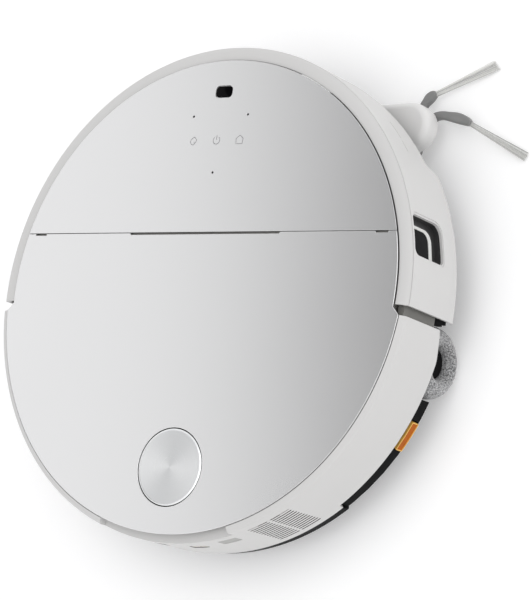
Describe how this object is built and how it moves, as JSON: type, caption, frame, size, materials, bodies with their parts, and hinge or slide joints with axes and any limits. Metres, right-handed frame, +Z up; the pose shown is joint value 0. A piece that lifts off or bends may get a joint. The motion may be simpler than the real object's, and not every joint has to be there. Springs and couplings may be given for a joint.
{
  "type": "robot vacuum",
  "caption": "Round low robot vacuum with a hinged rear cover, retractable lidar turret, bumper, swing-out side brush and a roller mop that reaches past its side.",
  "frame": {"origin": "centre of the chassis underside, on the body's vertical axis; the floor is 20 mm below it with the chassis raised on its wheels", "axes": "+Z up, -Y to the front of the robot, -X to its right side (the side with the brush arm)"},
  "size_m": [0.3742, 0.3588, 0.09],
  "materials": {
    "black": "fine moulded texture",
    "grey_frame": "matte moulded",
    "white_shell": "satin moulded",
    "gloss_plate": "glossy with a metallic pearl",
    "dark_window": "polished black",
    "aluminium_cap": "radially brushed",
    "steel": "plain",
    "grey_rubber": "matte",
    "bristle": "nylon filaments",
    "tyre": "soft ribbed rubber",
    "plush": "short grey heather pile",
    "amber": "amber moulded",
    "smoked_tank": "smoked",
    "filter_paper": "pleated paper",
    "board": "solder mask",
    "contact_plating": "nickel plated",
    "frosted_window": "frosted"
  },
  "bodies": {
    "chassis": {"base_tray": "black", "mid_frame": "grey_frame", "rear_shell": "white_shell", "front_top_panel": "gloss_plate", "tof_window": "dark_window", "lidar_well": "black", "arm_pivot_pin": "steel", "brush_bearing_left": "black", "brush_bearing_right": "black", "brush_hood": "black", "brush_cover": "black", "wheel_bracket_left": "steel", "wheel_bracket_right": "steel", "dustbin": "smoked_tank", "dust_filter": "filter_paper", "fan_housing": "black", "battery_pack": "black", "main_board": "board", "clean_water_tank": "smoked_tank", "dirty_water_tank": "smoked_tank", "water_pump": "black", "front_sensor_module": "black", "main_brush_motor": "steel", "arm_swing_motor": "steel", "charge_contact_left": "contact_plating", "charge_contact_right": "contact_plating", "rear_light_window": "frosted_window", "bumper_spring_right": "steel", "bumper_spring_left": "steel"},
    "top_cover": {"rear_top_cover": "gloss_plate"},
    "lidar_carriage": {"lidar_cap": "aluminium_cap", "lidar_turret": "white_shell"},
    "lidar_spinner": {"lidar_head": "black"},
    "bumper": {"bumper": "white_shell", "front_window": "dark_window", "side_window_right": "dark_window", "side_window_left": "dark_window"},
    "brush_arm": {"side_brush_arm": "white_shell"},
    "side_brush": {"side_brush_rotor": "grey_rubber", "side_bristles_1": "bristle", "side_bristles_2": "bristle"},
    "main_brush": {"main_brush": "grey_rubber"},
    "suspension_left": {"wheel_arm_left": "black"},
    "wheel_left": {"wheel_hub_left": "black", "tyre_left": "tyre"},
    "suspension_right": {"wheel_arm_right": "black"},
    "wheel_right": {"wheel_hub_right": "black", "tyre_right": "tyre"},
    "caster_socket": {"caster_socket": "black"},
    "caster_fork": {"caster_fork": "black", "caster_axle": "steel"},
    "caster_wheel": {"caster_wheel": "white_shell"},
    "mop_lift": {"mop_lift_frame": "steel"},
    "mop_carriage": {"mop_carriage": "black", "mop_scraper": "grey_rubber"},
    "mop_roller": {"mop_core": "black", "mop_sleeve": "plush"},
    "latch_right": {"mop_latch_right": "amber"},
    "latch_left": {"mop_latch_left": "amber"},
    "fan_rotor": {"fan_impeller": "grey_frame"}
  },
  "joints": [
    {"name": "cover_hinge", "type": "hinge", "parent": "chassis", "child": "top_cover", "pos_m": [0, -0.0406, 0.0698], "axis": [1, 0, 0], "range_deg": [0, 75]},
    {"name": "lidar_lift", "type": "slide", "parent": "chassis", "child": "lidar_carriage", "axis": [0, 0, 1], "range_m": [0, 0.022]},
    {"name": "lidar_spin", "type": "hinge", "parent": "lidar_carriage", "child": "lidar_spinner", "pos_m": [0, 0.124, 0.053], "axis": [0, 0, 1], "continuous": true},
    {"name": "bumper_press", "type": "slide", "parent": "chassis", "child": "bumper", "axis": [0, 1, 0], "range_m": [0, 0.0045], "stiffness_N_per_m": 500, "springref_m": -0.002},
    {"name": "brush_arm_swing", "type": "hinge", "parent": "chassis", "child": "brush_arm", "pos_m": [-0.07, -0.115, 0], "axis": [0, 0, -1], "range_deg": [0, 30]},
    {"name": "side_brush_spin", "type": "hinge", "parent": "brush_arm", "child": "side_brush", "pos_m": [-0.112, -0.118, -0.01], "axis": [0, 0, 1], "continuous": true, "deforming": ["side_bristles_1", "side_bristles_2"]},
    {"name": "main_brush_spin", "type": "hinge", "parent": "chassis", "child": "main_brush", "pos_m": [0, -0.065, 0.0105], "axis": [1, 0, 0], "continuous": true},
    {"name": "suspension_left", "type": "hinge", "parent": "chassis", "child": "suspension_left", "pos_m": [0.11, -0.078, 0.025], "axis": [1, 0, 0], "range_deg": [0, 12], "stiffness_Nm_per_rad": 2.5, "springref_deg": -30},
    {"name": "wheel_left_spin", "type": "hinge", "parent": "suspension_left", "child": "wheel_left", "pos_m": [0.125, -0.03, 0.013], "axis": [1, 0, 0], "continuous": true},
    {"name": "suspension_right", "type": "hinge", "parent": "chassis", "child": "suspension_right", "pos_m": [-0.11, -0.078, 0.025], "axis": [1, 0, 0], "range_deg": [0, 12], "stiffness_Nm_per_rad": 2.5, "springref_deg": -30},
    {"name": "wheel_right_spin", "type": "hinge", "parent": "suspension_right", "child": "wheel_right", "pos_m": [-0.125, -0.03, 0.013], "axis": [1, 0, 0], "continuous": true},
    {"name": "caster_lift", "type": "slide", "parent": "chassis", "child": "caster_socket", "axis": [0, 0, 1], "range_m": [0, 0.01], "stiffness_N_per_m": 2000, "springref_m": -0.012},
    {"name": "caster_swivel", "type": "hinge", "parent": "caster_socket", "child": "caster_fork", "pos_m": [0, -0.132, 0], "axis": [0, 0, 1], "continuous": true},
    {"name": "caster_spin", "type": "hinge", "parent": "caster_fork", "child": "caster_wheel", "pos_m": [0, -0.129, -0.0075], "axis": [1, 0, 0], "continuous": true},
    {"name": "mop_lift", "type": "slide", "parent": "chassis", "child": "mop_lift", "axis": [0, 0, 1], "range_m": [0, 0.01]},
    {"name": "mop_retract", "type": "slide", "parent": "mop_lift", "child": "mop_carriage", "axis": [1, 0, 0], "range_m": [0, 0.02]},
    {"name": "mop_spin", "type": "hinge", "parent": "mop_carriage", "child": "mop_roller", "pos_m": [0, 0.0347, 0.0051], "axis": [1, 0, 0], "continuous": true},
    {"name": "latch_right_press", "type": "slide", "parent": "chassis", "child": "latch_right", "axis": [0.866, -0.5, 0], "range_m": [0, 0.0018], "stiffness_N_per_m": 800, "springref_m": -0.002},
    {"name": "latch_left_press", "type": "slide", "parent": "chassis", "child": "latch_left", "axis": [-0.866, -0.5, 0], "range_m": [0, 0.0018], "stiffness_N_per_m": 800, "springref_m": -0.002},
    {"name": "fan_spin", "type": "hinge", "parent": "chassis", "child": "fan_rotor", "pos_m": [0.062, 0.036, 0.051], "axis": [0, 0, 1], "continuous": true}
  ],
  "couplings": [
    {"joint": "mop_lift", "follows": "mop_retract", "ratio": 0.5}
  ]
}
